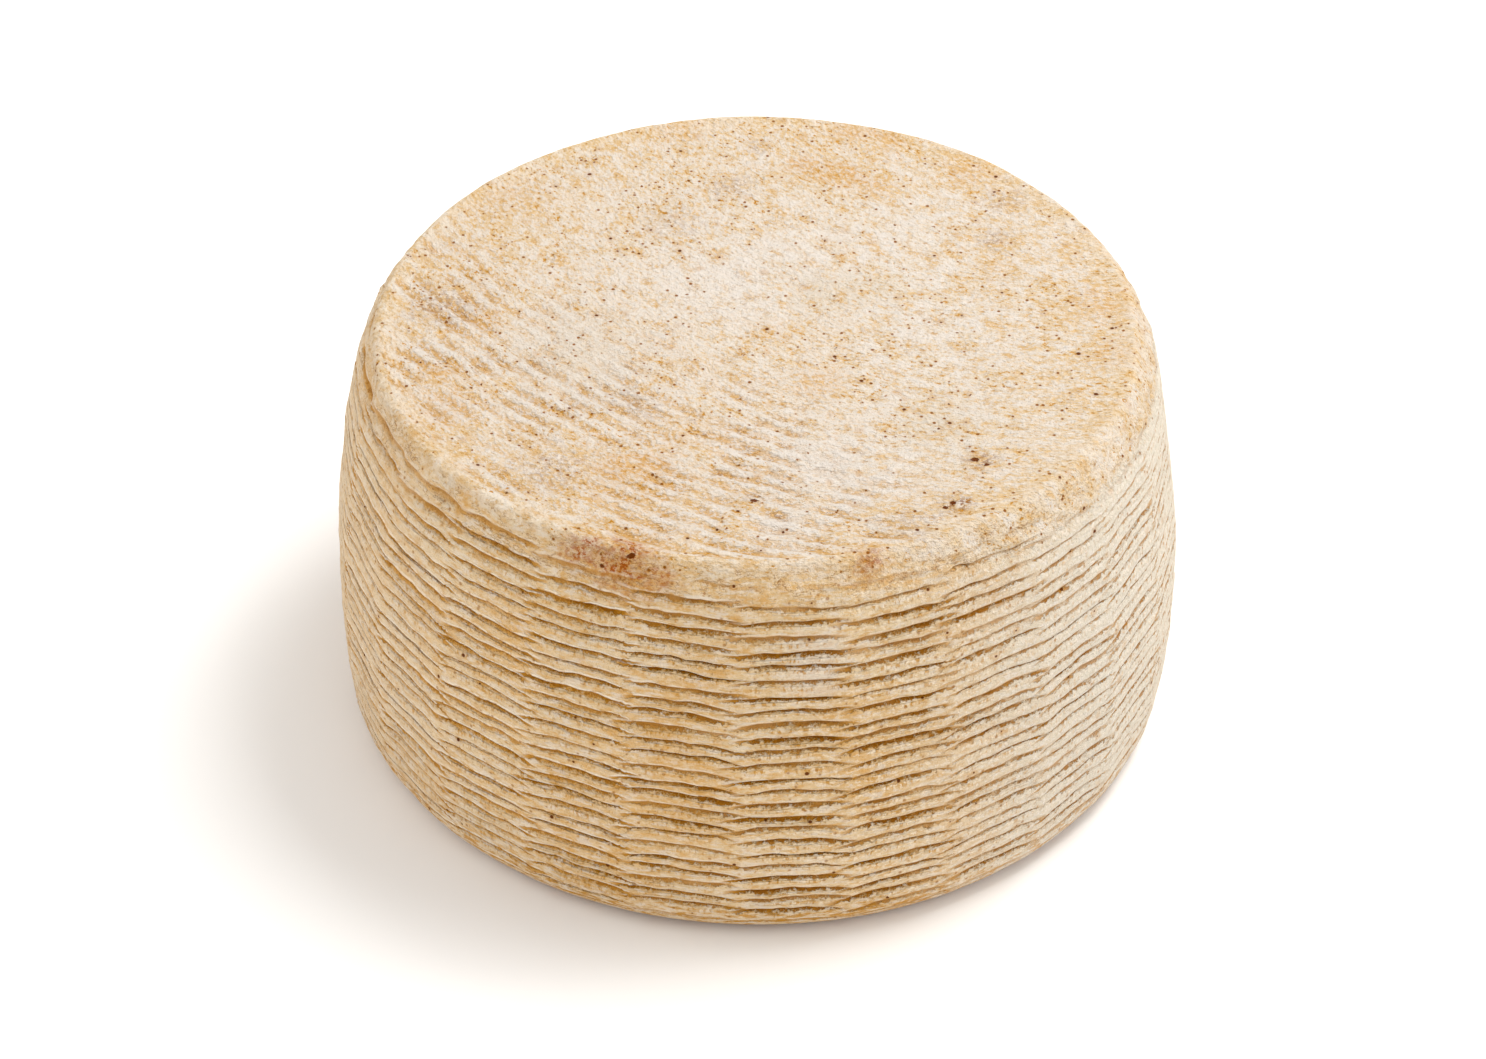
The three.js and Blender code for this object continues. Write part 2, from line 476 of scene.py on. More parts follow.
def add_top(skin, edge):
    """The top face, from the highest ring of the side inwards."""
    edge_angles = [FIRST_SEAM + 2 * math.pi * column / COLUMNS for column in range(COLUMNS)]
    radius = plain_radius(WHEEL_HEIGHT)
    rings = int(radius / TOP_RING_STEP)
    outer, outer_angles = edge, edge_angles
    faces = []
    for ring in range(1, rings):
        inset = 1 - ring / rings
        count = max(6, round(2 * math.pi * radius * inset / TOP_POINT_STEP))
        angles = [FIRST_SEAM + 2 * math.pi * (step + 0.5 * (ring % 2)) / count for step in range(count)]
        inner = []
        for angle in angles:
            out = (radius + swelling(angle, WHEEL_HEIGHT) - SKIN_INSET) * inset
            x, y = out * math.cos(angle), out * math.sin(angle)
            sag = TOP_SAG * (1 - inset * inset)
            ease = smooth_step(0, 5, radius - out)  # no relief at the edge itself
            z = WHEEL_HEIGHT - sag + ease * top_relief(x, y)
            inner.append(skin.add_point((x, y, z)))
        faces += joined_rings(outer, inner, outer_angles, angles)
        outer, outer_angles = inner, angles
    middle = skin.add_point((0.0, 0.0, WHEEL_HEIGHT - TOP_SAG + top_relief(0.0, 0.0)))
    for step, number in enumerate(outer):
        faces.append((number, outer[(step + 1) % len(outer)], middle))
    add_disc_faces(skin, faces, TOP_DISC, lambda x, y: (top_row(x, y), top_strength(x, y)))


def add_base(skin, edge):
    """The flat base, from the lowest ring of the side inwards."""
    outer = list(reversed(edge))
    outer_angles = [-FIRST_SEAM - 2 * math.pi * column / COLUMNS for column in range(COLUMNS)]
    outer_angles = [angle + 2 * math.pi for angle in reversed(outer_angles)]
    faces = []
    start = outer_angles[0]
    for share, count in ((0.93, 200), (0.8, 100), (0.55, 50), (0.25, 25)):
        angles = [start + 2 * math.pi * step / count for step in range(count)]
        inner = []
        for angle in angles:
            out = (plain_radius(0) + swelling(-angle, 0) - SKIN_INSET) * share
            inner.append(skin.add_point((out * math.cos(-angle), out * math.sin(-angle), 0.0)))
        faces += joined_rings(outer, inner, outer_angles, angles)
        outer, outer_angles = inner, angles
    middle = skin.add_point((0.0, 0.0, 0.0))
    for step, number in enumerate(outer):
        faces.append((number, outer[(step + 1) % len(outer)], middle))
    add_disc_faces(skin, faces, BASE_DISC, lambda x, y: (0.5, 0.0))


def mesh_of(skin, name):
    mesh = bpy.data.meshes.new(name)
    points = [tuple(MM * value for value in point) for point in skin.points]
    mesh.from_pydata(points, [], skin.faces)
    for label, values in (("rows", skin.rows), ("lines", skin.lines), ("opens", skin.opens)):
        attribute = mesh.attributes.new(label, "FLOAT_VECTOR", "CORNER")
        attribute.data.foreach_set("vector", [number for value in values for number in value])
    picture = mesh.uv_layers.new(name="OFBake")
    picture.data.foreach_set("uv", [number for value in skin.places for number in value])
    mesh.polygons.foreach_set("use_smooth", [True] * len(mesh.polygons))
    mesh.update()
    return mesh


def make_wheel():
    skin = Skin()
    low_ring, high_ring = add_side(skin)
    add_top(skin, high_ring)
    add_base(skin, low_ring)
    wheel = bpy.data.objects.new("cheese_wheel_rind", mesh_of(skin, "cheese_wheel_rind"))
    bpy.context.scene.collection.objects.link(wheel)
    return wheel


# ---------------------------------------------------------------- materials


class Shader:
    """A material under construction, with short calls for the nodes it is made of."""

    def __init__(self, name):
        self.material = bpy.data.materials.new(name)
        self.material.use_nodes = True
        self.tree = self.material.node_tree
        self.tree.nodes.clear()
        self.output = self.tree.nodes.new("ShaderNodeOutputMaterial")
        self.surface = self.tree.nodes.new("ShaderNodeBsdfPrincipled")
        self.tree.links.new(self.surface.outputs[0], self.output.inputs[0])

    def node(self, kind, **settings):
        made = self.tree.nodes.new(kind)
        for name, value in settings.items():
            setattr(made, name, value)
        return made

    def feed(self, socket, value):
        if isinstance(value, bpy.types.NodeSocket):
            self.tree.links.new(value, socket)
        else:
            socket.default_value = value

    def feed_all(self, sockets, values):
        for socket, value in zip(sockets, values):
            self.feed(socket, value)

    def math(self, operation, *values, clamped=False):
        made = self.node("ShaderNodeMath", operation=operation, use_clamp=clamped)
        self.feed_all(made.inputs, values)
        return made.outputs[0]

    def times(self, *values):
        """The product of two or more masks."""
        product = values[0]
        for value in values[1:]:
            product = self.math("MULTIPLY", product, value)
        return product

    def vector(self, operation, *values):
        made = self.node("ShaderNodeVectorMath", operation=operation)
        if operation == "SCALE":
            self.feed(made.inputs[0], values[0])
            self.feed(made.inputs["Scale"], values[1])
        else:
            self.feed_all(made.inputs, values)
        return made.outputs["Value"] if operation in ("DISTANCE", "LENGTH") else made.outputs[0]

    def joined(self, x, y, z):
        made = self.node("ShaderNodeCombineXYZ")
        self.feed_all(made.inputs, (x, y, z))
        return made.outputs[0]

    def carried(self, name):
        """The three values that the mesh carries under a name."""
        return self.split(self.node("ShaderNodeAttribute", attribute_name=name).outputs["Vector"])

    def split(self, vector):
        made = self.node("ShaderNodeSeparateXYZ")
        self.feed(made.inputs[0], vector)
        return made.outputs

    def rolled(self, place, degrees):
        """A place turned round the upright axis."""
        made = self.node("ShaderNodeVectorRotate", rotation_type="Z_AXIS")
        self.feed(made.inputs["Vector"], place)
        made.inputs["Angle"].default_value = math.radians(degrees)
        return made.outputs[0]

    def span(self, value, start, end, low=0.0, high=1.0):
        """Low at start and before, high at end and after, with a smooth step between."""
        made = self.node("ShaderNodeMapRange", interpolation_type="SMOOTHSTEP")
        for name, given in (("Value", value), ("From Min", start), ("From Max", end)):
            self.feed(made.inputs[name], given)
        made.inputs["To Min"].default_value = low
        made.inputs["To Max"].default_value = high
        return made.outputs[0]

    def noise(self, place, size, detail, rough):
        """Noise from 0 to 1, with lumps of about this size in millimetres."""
        made = self.node("ShaderNodeTexNoise")
        self.feed(made.inputs["Vector"], place)
        made.inputs["Scale"].default_value = 1 / size
        made.inputs["Detail"].default_value = detail
        made.inputs["Roughness"].default_value = rough
        return made.outputs[0]

    def cells(self, place, size):
        """The distance to the nearest of many scattered points, in sizes, and a colour for each."""
        made = self.node("ShaderNodeTexVoronoi")
        self.feed(made.inputs["Vector"], place)
        made.inputs["Scale"].default_value = 1 / size
        return made.outputs["Distance"], made.outputs["Color"]

    def mix(self, share, first, second):
        """The first colour, with this share of the second."""
        made = self.node("ShaderNodeMix", data_type="RGBA")
        self.feed(made.inputs["Factor"], share)
        for name, value in (("A", first), ("B", second)):
            socket = next(s for s in made.inputs if s.name == name and s.type == "RGBA")
            self.feed(socket, (*value, 1) if isinstance(value, tuple) else value)
        return next(s for s in made.outputs if s.type == "RGBA")

    def bump(self, height):
        """The normal of a surface with this height, in millimetres."""
        made = self.node("ShaderNodeBump")
        made.inputs["Distance"].default_value = MM
        self.feed(made.inputs["Height"], height)
        return made.outputs[0]


TOP_LIGHT = 1.3  # a level surface in this studio looks this much brighter than its own colour
GAMMA = 2.2


def linear(red, green, blue):
    """A colour for the shader from one as it looks on a level surface, where 255 is full brightness."""
    channels = []
    for value in (red, green, blue):
        channels.append((value / 255) ** GAMMA / TOP_LIGHT)
    return tuple(channels)


# ---- The colours of the rind, from floury and dry to damp and stained, and a painted highlight ----
CREAM = linear(244, 221, 190)
PALE = linear(251, 239, 226)
# painted highlight: brighter than white, for the thin crests at the left of the side and the front edge of
# the top face, where light catches them
PAINTED_HIGHLIGHT = linear(270, 256, 234)
GREY = linear(236, 220, 198)
IVORY = linear(238, 228, 210)
BUTTER = linear(264, 241, 208)
SAND = linear(246, 218, 176)
TAN = linear(241, 202, 146)
OCHRE = linear(232, 172, 90)
STAIN = linear(210, 142, 20)
BROWN = linear(140, 78, 0)
PORE = linear(152, 86, 0)
DARK = linear(112, 54, 0)
RUST = linear(178, 92, 26)

# ---- Marks on the rind: centre, reach and strength ----
WARM_MARKS = (
    ((11, 58, 90), 7, 0.8), ((18, 55, 90), 7, 0.8), ((25, 51, 90), 6, 0.7), ((20, 72, 90), 7, 0.7),
    ((29, 69, 90), 6, 0.7), ((45, 57, 90), 8, 0.5), ((-18, 74, 90), 10, 0.45), ((-54, 46, 90), 12, 0.35),
    ((-56, 1, 90), 6, 0.6), ((-65, -17, 90), 6, 0.8), ((-62, -27, 90), 9, 0.4), ((-27, -47, 90), 5, 0.6),
    ((-21, -46, 90), 5, 0.6), ((-25, -50, 90), 15, 0.4), ((-14, -36, 90), 10, 0.3), ((12, -19, 90), 8, 0.5),
    ((3, -2, 90), 7, 0.3), ((72, 8, 89), 9, 0.5), ((73, -9, 89), 7, 0.45), ((50, 22, 90), 6, 0.3),
    ((21, -76, 88), 8, 0.5), ((-25, -76, 88), 14, 0.9),
    ((-58, -56, 88), 5, 0.8), ((-70, -38, 86), 14, 0.35), ((-79, -12, 86), 12, 0.35),
    ((-15, -87, 42), 16, 0.7), ((-10, -86, 66), 10, 0.35), ((16, -85, 62), 10, 0.3),
    ((-50, -70, 60), 14, 0.3),
)
BROWN_MARKS = (
    ((-65, 7, 90), 10, 0.45), ((-40, -48, 90), 11, 0.35), ((-24, -27, 90), 8, 0.3), ((50, 31, 90), 6, 0.4),
    ((53, 45, 90), 6, 0.35), ((44, -45, 90), 4.5, 0.9), ((38.5, -59, 90), 4.5, 0.8), ((30, -66, 90), 8, 0.3),
    ((0, 66, 90), 4, 0.5), ((-6, 51, 90), 7, 0.35), ((-18, 38, 90), 10, 0.25), ((-0.5, -57, 90), 3, 0.7),
)
PALE_MARKS = (
    ((-8, 15, 90), 24, 0.9), ((10, 26, 90), 16, 0.6), ((30, 34, 90), 18, 0.5), ((-35, -5, 90), 24, 0.5),
    ((14, -46, 90), 19, 0.9), ((5, -66, 90), 9, 0.9), ((-14, -67, 90), 5, 0.7), ((33, 2, 90), 11, 0.5),
    ((12, -84, 70), 11, 0.7),
)
GREY_MARKS = (
    ((13, 12, 90), 10, 0.5), ((-36, -8, 90), 22, 0.35), ((36, -33, 90), 12, 0.45), ((25, 14, 90), 9, 0.3),
)
RUST_MARKS = (
    ((-35.5, -72, 88.5), 6, 0.8), ((-29, -75, 87.5), 7, 1.0), ((-22, -77.5, 87), 6.5, 0.9),
    ((-25, -74.5, 90), 4, 0.7), ((-17, -79, 86.5), 4, 0.4), ((21, -75.5, 89), 4, 0.8),
)


# ---- Where the side passes into the top face ----
GRAIN_CHANGE = (85.5, 89.5)  # heights between which the grain of the top face sets in
COLOUR_CHANGE = (87.5, 90.3)  # and its colour
RAGGED_CHANGE = 3.0  # how ragged both are
RIGHT_LIFT = 6.0  # both reach this much further down at the right

DRAWN_OUT = 0.72  # width over length of a flake, which lies along the ridges of the top face


class RindTextures:
    """The noises that several parts of the rind's material share."""

    def __init__(self, s):
        self.place = s.vector("SCALE", s.node("ShaderNodeTexCoord").outputs["Object"], 1 / MM)
        self.x, self.y, self.z = s.split(self.place)
        self.out = s.vector("LENGTH", s.vector("MULTIPLY", self.place, (1.0, 1.0, 0.0)))
        upright = s.vector("MULTIPLY", self.place, (1.0, 1.0, 0.3))
        level = s.vector("MULTIPLY", self.place, (0.3, 0.3, 1.0))
        along = self.along_ridges(s)
        self.crumbs = s.noise(self.place, size=1.2, detail=3, rough=0.75)
        self.fine = s.noise(self.place, size=0.5, detail=1, rough=0.6)
        self.ticks = s.noise(upright, size=0.7, detail=2, rough=0.6)
        self.streaks = s.noise(level, size=1.0, detail=3, rough=0.65)
        self.flakes = s.noise(along, size=0.8, detail=3, rough=0.6)
        self.patches = s.noise(self.place, size=8.0, detail=3, rough=0.6)
        self.clouds = s.noise(self.place, size=24.0, detail=2, rough=0.5)
        self.ragged = s.noise(along, size=3.6, detail=4, rough=0.7)

    def along_ridges(self, s):
        """The place, bent and drawn out along the ridges of the top face."""
        beside, across, up = s.split(s.rolled(self.place, TOP_TURN))
        bend = s.times(beside, beside, s.span(beside, -BEND_REACH, BEND_REACH, LEFT_BEND, RIGHT_BEND))
        return s.joined(s.times(beside, DRAWN_OUT), s.math("SUBTRACT", across, bend), up)


# Below, a span's first pair of numbers says where a mask begins and ends: a value of a noise, a share
# of the pitch, or a place in millimetres. Its second pair is what the mask is there, or else 0 and 1.


class PrintMasks:
    """Masks over the side: dark line (brown stain and painted shade), groove, crumbly lip, crest (for a
    painted highlight) and shaded part of each ridge.
    """

    def __init__(self, s, t):
        self.shake = s.times(s.math("SUBTRACT", t.crumbs, 0.5), s.span(t.x, -65, 0, 0.4, 0.9))
        self.wide = s.span(t.x, *RUCKED, 1.05, 1.45)
        dashes = s.times(s.span(t.streaks, 0.53, 0.39), s.span(t.x, 10, 60, 0.05, 0.7))
        self.unbroken = s.math("SUBTRACT", 1.0, dashes)
        rows, lines, opens = s.carried("rows"), s.carried("lines"), s.carried("opens")
        own_lines, own_faces = self.of_panel(s, rows[0], lines[0], opens[0])
        near_lines, near_faces = self.of_panel(s, rows[1], lines[1], opens[1])
        self.dark, self.groove, _ = s.split(s.vector("MAXIMUM", own_lines, near_lines))
        self.lip, self.crest, self.shaded = s.split(s.vector("MAXIMUM", own_faces, near_faces))

    def of_panel(self, s, row, line, open_share):
        """The masks of one panel's ridges, as far as its grooves show."""
        below = s.math("FRACT", row)  # how far below a groove, in pitches
        above = s.math("SUBTRACT", 1.0, below)  # and how far above the next
        u = s.math("ADD", below, self.shake)
        reach = s.math("MULTIPLY_ADD", open_share, 0.12, 0.1)
        # dark line: brown stain with painted shade, in the groove and just under the crest above it
        dark = s.math("MAXIMUM", s.span(u, 0.15, 0.04), s.span(above, 0.13, 0.03))
        dark = s.times(dark, s.span(open_share, 0, 0.6, 0.4, 0.85))
        groove = s.span(s.math("DIVIDE", u, reach), self.wide, 0.3)
        groove = s.math("MAXIMUM", groove, s.span(above, 0.22, 0.04))
        lip = s.times(s.span(below, 0.24, 0.34), s.span(below, 0.62, 0.45), open_share)
        # crest: where the painted highlight goes, along the lower edge of each ridge
        crest = s.times(s.span(above, 0.06, 0.09), s.span(above, 0.25, 0.14))
        shaded = s.math("MAXIMUM", s.span(below, 0.34, 0.14), s.span(above, 0.14, 0.02))
        sharp = s.joined(s.times(dark, self.unbroken), s.times(groove, self.unbroken), 0.0)
        return s.vector("SCALE", sharp, line), s.vector("SCALE", s.joined(lip, crest, shaded), line)


def marks(s, t, spots):
    """Soft, ragged spots, added up: each is strongest in the middle and gone about at its reach."""
    total = None
    for centre, reach, strength in spots:
        away = s.vector("DISTANCE", t.place, centre)
        ragged = s.math("MULTIPLY_ADD", t.ragged, reach * 2.2, reach * -1.1)  # none at 0.5
        spot = s.span(s.math("ADD", away, ragged), 1.1 * reach, -0.1 * reach, 0.0, strength)
        total = spot if total is None else s.math("ADD", total, spot, clamped=True)
    return total


# ---- Single pits in the rind: centre and half sizes ----
PITS = (
    ((-24.3, -74.6, 90.0), (0.9, 0.4, 2.0)), ((-30.1, -76.0, 86.9), (0.6, 2.5, 0.65)),
    ((-0.7, -57.7, 90.0), (0.8, 0.5, 1.5)), ((30.9, -67.0, 90.0), (0.45, 0.4, 1.5)),
    ((-34.0, -72.5, 89.3), (0.8, 0.4, 1.6)), ((-37.5, -70.0, 89.5), (0.5, 0.4, 1.6)),
    ((43.0, -44.6, 90.0), (0.9, 0.6, 1.5)), ((38.2, -58.6, 90.0), (0.6, 0.6, 1.5)),
    ((36.6, -60.0, 90.0), (0.6, 0.4, 1.5)), ((45.2, -46.5, 90.0), (0.5, 0.4, 1.5)),
)


def pits(s, t):
    """The single pits, with crumbly edges."""
    total = None
    for centre, half in PITS:
        away = s.vector("MULTIPLY", s.vector("SUBTRACT", t.place, centre), tuple(1 / size for size in half))
        distance = s.math("ADD", s.vector("LENGTH", away), s.math("MULTIPLY_ADD", t.crumbs, 1.6, -0.8))
        pit = s.span(distance, 1.15, 0.75)
        total = pit if total is None else s.math("MAXIMUM", total, pit)
    return total


def marked(s, t, colour):
    """The colour of the rind with its patches and stains. Crumbs and flakes of it stay clean."""
    broken = s.span(t.flakes, 0.36, 0.6, 1.0, 0.3)
    colour = s.mix(s.times(marks(s, t, WARM_MARKS), broken), colour, OCHRE)
    colour = s.mix(s.times(marks(s, t, PALE_MARKS), 0.8), colour, PALE)
    colour = s.mix(marks(s, t, GREY_MARKS), colour, GREY)
    spotted = s.span(t.crumbs, 0.56, 0.44, 0.05, 1.0)
    colour = s.mix(s.times(marks(s, t, BROWN_MARKS), spotted), colour, BROWN)
    speckled = s.span(t.crumbs, 0.56, 0.44, 0.3, 1.0)
    return s.mix(s.times(marks(s, t, RUST_MARKS), speckled), colour, RUST)


def top_masks(s, t):
    """Masks over the ridges of the top face: groove, for stain with painted shade and for relief, and crest,
    for a painted highlight.
    """
    row, line = s.carried("rows")[2], s.carried("lines")[2]
    u = s.math("FRACT", s.math("ADD", row, s.math("MULTIPLY_ADD", t.crumbs, 0.5, -0.25)))
    side = s.math("ABSOLUTE", s.math("SUBTRACT", u, 0.5))
    groove = s.times(s.span(side, 0.2, 0.45), line)
    crest = s.times(s.span(side, 0.3, 0.08), line)
    return groove, crest


def side_face(s, t, side):
    """The colour of the ridges of the side, painted paler to the right, where the key light falls, and at
    the far left, as a painted sheen.
    """
    face = s.mix(s.span(t.patches, 0.4, 0.7, 0.1, 0.6), TAN, OCHRE)
    face = s.mix(s.span(t.clouds, 0.38, 0.62, 0.3, 0.8), face, SAND)
    face = s.mix(s.span(t.streaks, 0.47, 0.37, 0.0, 0.6), face, OCHRE)
    face = s.mix(s.span(t.streaks, 0.52, 0.62, 0.0, 0.5), face, PALE)
    # painted light: paler towards the right, where the key light falls
    face = s.mix(s.span(t.x, 15, 75, 0.0, 0.9), face, IVORY)
    # painted sheen: paler at the far left edge
    face = s.mix(s.span(t.x, -45, -86, 0.0, 0.5), face, CREAM)
    lit = s.span(side.shaded, 0.5, 0.1)
    flakes = s.times(s.span(t.flakes, 0.53, 0.6), s.span(t.x, -40, 50, 0.2, 0.7), lit)
    return s.mix(flakes, face, s.mix(s.span(t.x, 20, 60), BUTTER, PALE))


def side_print(s, t, side, colour):
    """The colour of the side with its grooves, their crumbly lips, the crests with a painted highlight, and
    dark lines of brown stain and painted shade.
    """
    dark, groove, lip, crest = side.dark, side.groove, side.lip, side.crest
    rough = s.span(t.crumbs, 0.66, 0.45, 0.4, 0.9)
    warmth = s.span(t.x, 10, -40, 0.6, 0.95)
    colour = s.mix(s.times(s.span(groove, 0.0, 0.6), warmth), colour, OCHRE)
    colour = s.mix(s.times(s.span(groove, 0.4, 1.0), rough), colour, STAIN)
    # pale crumbs on the lips, painted more often towards the right, where the light falls on them
    lit = s.span(t.x, -20, 25, 0.1, 0.8)
    colour = s.mix(s.times(lip, s.span(t.flakes, 0.52, 0.58), lit), colour, BUTTER)
    colour = s.mix(s.times(lip, s.span(t.ticks, 0.55, 0.62), 0.8), colour, STAIN)
    # painted highlight on the thin crests, strongest at the left
    left = s.span(t.x, 20, -30, 0.25, 1.0)
    colour = s.mix(s.times(crest, left, s.span(t.streaks, 0.35, 0.5)), colour, PAINTED_HIGHLIGHT)
    # dark groove line: brown stain with painted shade in the groove and under the crest above it
    return s.mix(s.times(dark, s.span(t.streaks, 0.25, 0.5, 0.6, 0.9)), colour, BROWN)


def heel_lines_and_foot_shade(s, t, colour):
    """Fine, level scratches low on the side, where the print has been rubbed away, and painted shade at the
    foot.
    """
    low = s.span(t.z, 12, 5)
    colour = s.mix(s.times(low, s.span(t.streaks, 0.5, 0.42), 0.6), colour, STAIN)
    # painted shade: darker towards the foot, where the wheel meets the floor
    return s.mix(s.span(t.z, 3.5, 0.3, 0.0, 0.6), colour, BROWN)


def rim_cracks(s, t, colour):
    """Thin, broken, level cracks where the side bends over into the top face."""
    band = s.times(s.span(t.z, 81, 84), s.span(t.z, 90.4, 88.8))
    line = s.span(s.math("ABSOLUTE", s.math("SUBTRACT", t.streaks, 0.5)), 0.03, 0.008)
    broken = s.span(t.ragged, 0.47, 0.53)
    return s.mix(s.times(band, line, broken, s.span(t.x, 80, 40, 0.2, 0.5)), colour, BROWN)


def top_face(s, t):
    """The colour of the top face: pale in the middle, tan towards its edge, but not at the right."""
    edge = s.span(t.out, 38, 76, 0.0, 0.72)
    pale_edge = s.times(s.span(t.out, 74, 80), s.span(t.x, 15, 55), 0.85)
    edge = s.times(edge, s.math("SUBTRACT", 1.0, pale_edge))
    face = s.mix(s.span(t.patches, 0.42, 0.58, 0.0, 0.6), CREAM, PALE)
    face = s.mix(s.times(edge, s.span(t.clouds, 0.35, 0.65, 0.4, 1.0)), face, TAN)
    face = s.mix(s.span(t.ragged, 0.48, 0.4, 0.0, 0.7), face, PALE)
    face = s.mix(s.span(t.ragged, 0.51, 0.6, 0.0, 0.7), face, TAN)
    return s.mix(s.span(t.ragged, 0.58, 0.66, 0.0, 0.35), face, OCHRE)


def top_grain(s, t, masks, colour):
    """The colour of the top face with its ridges, its pale flakes and the stained pits between them, and a
    painted highlight along its edge.
    """
    groove, crest = masks
    # painted highlight along the edge of the top face, at the front left
    edge = s.times(s.span(t.out, 74, 77), s.span(t.out, 80.5, 78.5), s.span(t.x, 30, -20))
    colour = s.mix(s.times(edge, s.span(t.ragged, 0.52, 0.42), 0.35), colour, PAINTED_HIGHLIGHT)
    # grooves of the top ridges: ochre stain with painted shade
    colour = s.mix(s.times(groove, s.span(t.crumbs, 0.65, 0.35, 0.4, 0.85)), colour, OCHRE)
    # crests of the top ridges: paler, partly a painted highlight
    colour = s.mix(s.times(crest, 0.85), colour, PALE)
    pale_share = s.span(t.out, 72, 82, 0.7, 0.35)
    flake = s.mix(s.span(t.out, 70, 80), PALE, BUTTER)
    colour = s.mix(s.times(s.span(t.flakes, 0.5, 0.58), pale_share), colour, flake)
    colour = s.mix(s.span(t.flakes, 0.44, 0.38, 0.0, 0.35), colour, TAN)
    crowded = s.span(t.patches, 0.56, 0.4, 0.3, 1.0)
    stained = s.times(s.span(t.flakes, 0.392, 0.36), crowded, 0.9)
    return s.mix(stained, colour, STAIN)


def pores(s, t, size, share, small, wide):
    """Small pits and their halos, in at most this share of the cells of a scatter.

    Size is that of a cell. The radius of a pit lies between small and wide, in cells.
    """
    distance, tint = s.cells(t.place, size)
    chance, width, _ = s.split(tint)
    reach = s.math("MULTIPLY_ADD", width, wide - small, small)
    crowding = s.span(t.patches, 0.56, 0.38, 0.2 * share, share)
    here = s.math("LESS_THAN", chance, crowding)
    halo = s.times(s.span(distance, 0.34, 0.1), here)
    return s.times(s.span(s.math("DIVIDE", distance, reach), 1.0, 0.6), here), halo


class Holes:
    """Masks of all the holes in the rind: fine pores, wide pores, single pits, and their halos."""

    def __init__(self, s, t, upper):
        fine, fine_halo = pores(s, t, size=1.9, share=0.9, small=0.12, wide=0.24)
        self.fine = s.times(fine, s.span(upper, 0, 1, 0.5, 1.0))
        self.wide, wide_halo = pores(s, t, size=4.6, share=0.95, small=0.05, wide=0.12)
        self.single = pits(s, t)
        self.halos = s.math("MAXIMUM", wide_halo, fine_halo)


def rind_colour(s, t, side, top, level, upper, holes):
    """The colour of the rind. Level is the height, shaken, and upper masks the top face's grain."""
    colour = s.mix(s.span(level, *COLOUR_CHANGE), side_face(s, t, side), top_face(s, t))
    colour = marked(s, t, s.mix(upper, colour, top_grain(s, t, top, colour)))
    colour = rim_cracks(s, t, heel_lines_and_foot_shade(s, t, side_print(s, t, side, colour)))
    colour = s.mix(s.times(holes.halos, 0.3), colour, STAIN)
    colour = s.mix(s.times(holes.fine, 0.9), colour, PORE)
    return s.mix(s.times(s.math("MAXIMUM", holes.wide, holes.single), 0.95), colour, DARK)


def rind_relief(s, t, side, top, upper, holes):
    """The height of the fine relief of the rind, in millimetres."""
    top_groove, _ = top
    all_holes = s.math("MAXIMUM", s.math("MAXIMUM", holes.fine, holes.wide), holes.single)
    heights = (
        (s.math("MAXIMUM", side.groove, s.times(top_groove, 0.8)), -0.4),
        (side.crest, 0.25),
        (s.times(side.lip, t.ticks), 0.8),
        (t.crumbs, 0.8),
        (s.times(upper, t.flakes), 1.0),
        (t.fine, 0.25),
        (all_holes, -0.15),
    )
    total = 0.0
    for mask, height in heights:
        total = s.math("MULTIPLY_ADD", mask, height, total)
    return total


def rind_material():
    s = Shader("rind")
    t = RindTextures(s)
    side = PrintMasks(s, t)
    top = top_masks(s, t)
    level = s.math("MULTIPLY_ADD", t.ragged, RAGGED_CHANGE, s.math("SUBTRACT", t.z, RAGGED_CHANGE / 2))
    level = s.math("ADD", level, s.span(t.x, 15, 65, 0.0, RIGHT_LIFT))
    upper = s.span(level, *GRAIN_CHANGE)
    holes = Holes(s, t, upper)
    s.feed(s.surface.inputs["Base Color"], rind_colour(s, t, side, top, level, upper, holes))
    s.feed(s.surface.inputs["Normal"], s.bump(rind_relief(s, t, side, top, upper, holes)))
    s.surface.inputs["Roughness"].default_value = 0.85
    s.surface.inputs["Specular IOR Level"].default_value = 0.05
    return s.material


def floor_material():
    s = Shader("paper")
    s.surface.inputs["Base Color"].default_value = (0.97, 0.955, 0.93, 1)
    s.surface.inputs["Roughness"].default_value = 0.9
    s.surface.inputs["Specular IOR Level"].default_value = 0.0
    return s.material


# ---------------------------------------------------------------- studio


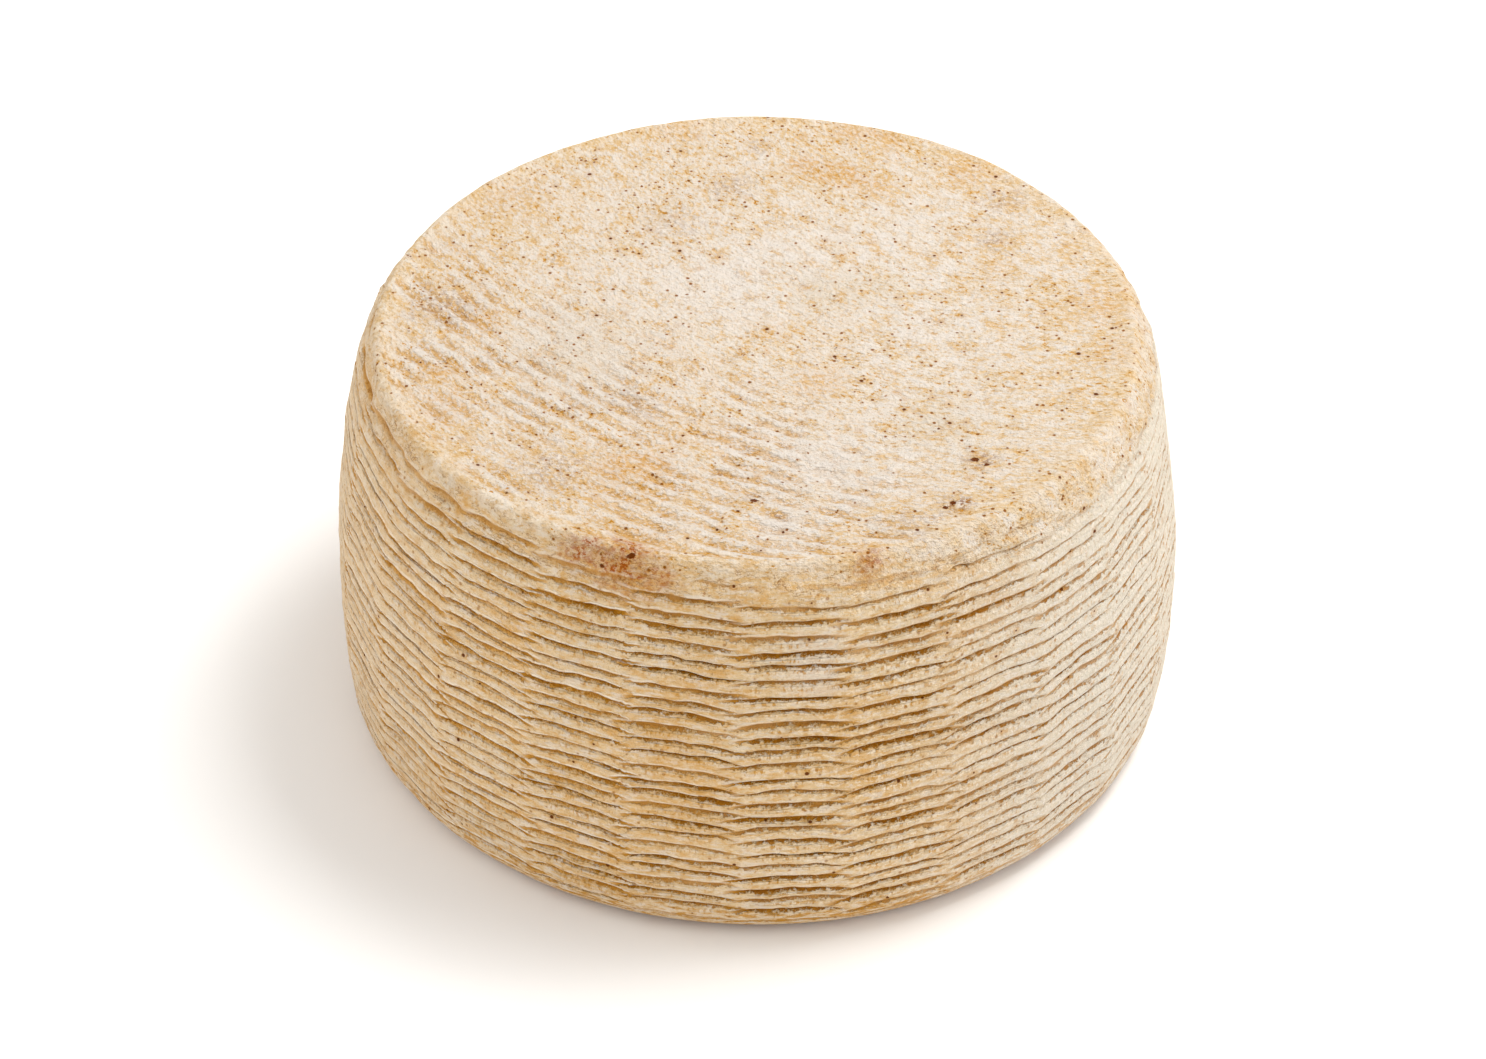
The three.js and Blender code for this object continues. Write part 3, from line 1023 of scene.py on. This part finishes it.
FLOOR_SIZE = 6.0  # metres
LENS = 102.62  # on a sensor 36 mm wide
CAMERA_DISTANCE = 900.0
CAMERA_ELEVATION = math.radians(38.4)
AIM_RIGHT, AIM_UP = -3.06, -7.14  # the camera looks this far beside the middle of the wheel
WORLD_LIGHT = 0.72
SOFTBOXES = (  # name, place and size in metres, and power in watts
    ("key", (0.55, 0.28, 1.3), 0.6, 13.4),
    ("right", (1.2, -0.1, 0.5), 0.8, 3.55),
    ("left", (-1.2, 0.1, 0.5), 0.8, 3.9),
    ("front", (-0.1, -1.5, 0.25), 0.45, 2.6),
)


def make_floor():
    half = FLOOR_SIZE / 2
    corners = [(-half, -half, 0), (half, -half, 0), (half, half, 0), (-half, half, 0)]
    mesh = bpy.data.meshes.new("floor")
    mesh.from_pydata(corners, [], [(0, 1, 2, 3)])
    floor = bpy.data.objects.new("floor", mesh)
    bpy.context.scene.collection.objects.link(floor)
    mesh.materials.append(floor_material())


def make_camera():
    data = bpy.data.cameras.new("camera")
    data.lens = LENS
    data.clip_start = 0.01
    camera = bpy.data.objects.new("camera", data)
    back = Vector((0, -math.cos(CAMERA_ELEVATION), math.sin(CAMERA_ELEVATION)))
    up = Vector((0, math.sin(CAMERA_ELEVATION), math.cos(CAMERA_ELEVATION)))
    middle = Vector((0, 0, WHEEL_HEIGHT / 2))
    place = middle + CAMERA_DISTANCE * back
    aim = middle + AIM_RIGHT * Vector((1, 0, 0)) + AIM_UP * up
    camera.location = place * MM
    camera.rotation_mode = "QUATERNION"
    camera.rotation_quaternion = (aim - place).to_track_quat("-Z", "Y")
    bpy.context.scene.collection.objects.link(camera)
    bpy.context.scene.camera = camera


def add_softbox(name, place, size, power):
    """A square light that looks at the foot of the wheel."""
    data = bpy.data.lights.new(name, "AREA")
    data.size = size
    data.energy = power
    light = bpy.data.objects.new(name, data)
    light.location = place
    light.rotation_mode = "QUATERNION"
    light.rotation_quaternion = (-Vector(place)).to_track_quat("-Z", "Y")
    light.visible_camera = False
    bpy.context.scene.collection.objects.link(light)


def make_studio():
    world = bpy.data.worlds.new("studio")
    world.use_nodes = True
    background = world.node_tree.nodes["Background"]
    background.inputs["Color"].default_value = (1, 1, 1, 1)
    background.inputs["Strength"].default_value = WORLD_LIGHT
    bpy.context.scene.world = world
    bpy.context.scene.view_settings.view_transform = "Standard"
    for name, place, size, power in SOFTBOXES:
        add_softbox(name, place, size, power)


make_camera()
make_studio()
make_floor()
wheel = make_wheel()
wheel.data.materials.append(rind_material())
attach(wheel, "root")
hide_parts("cheese_wheel")
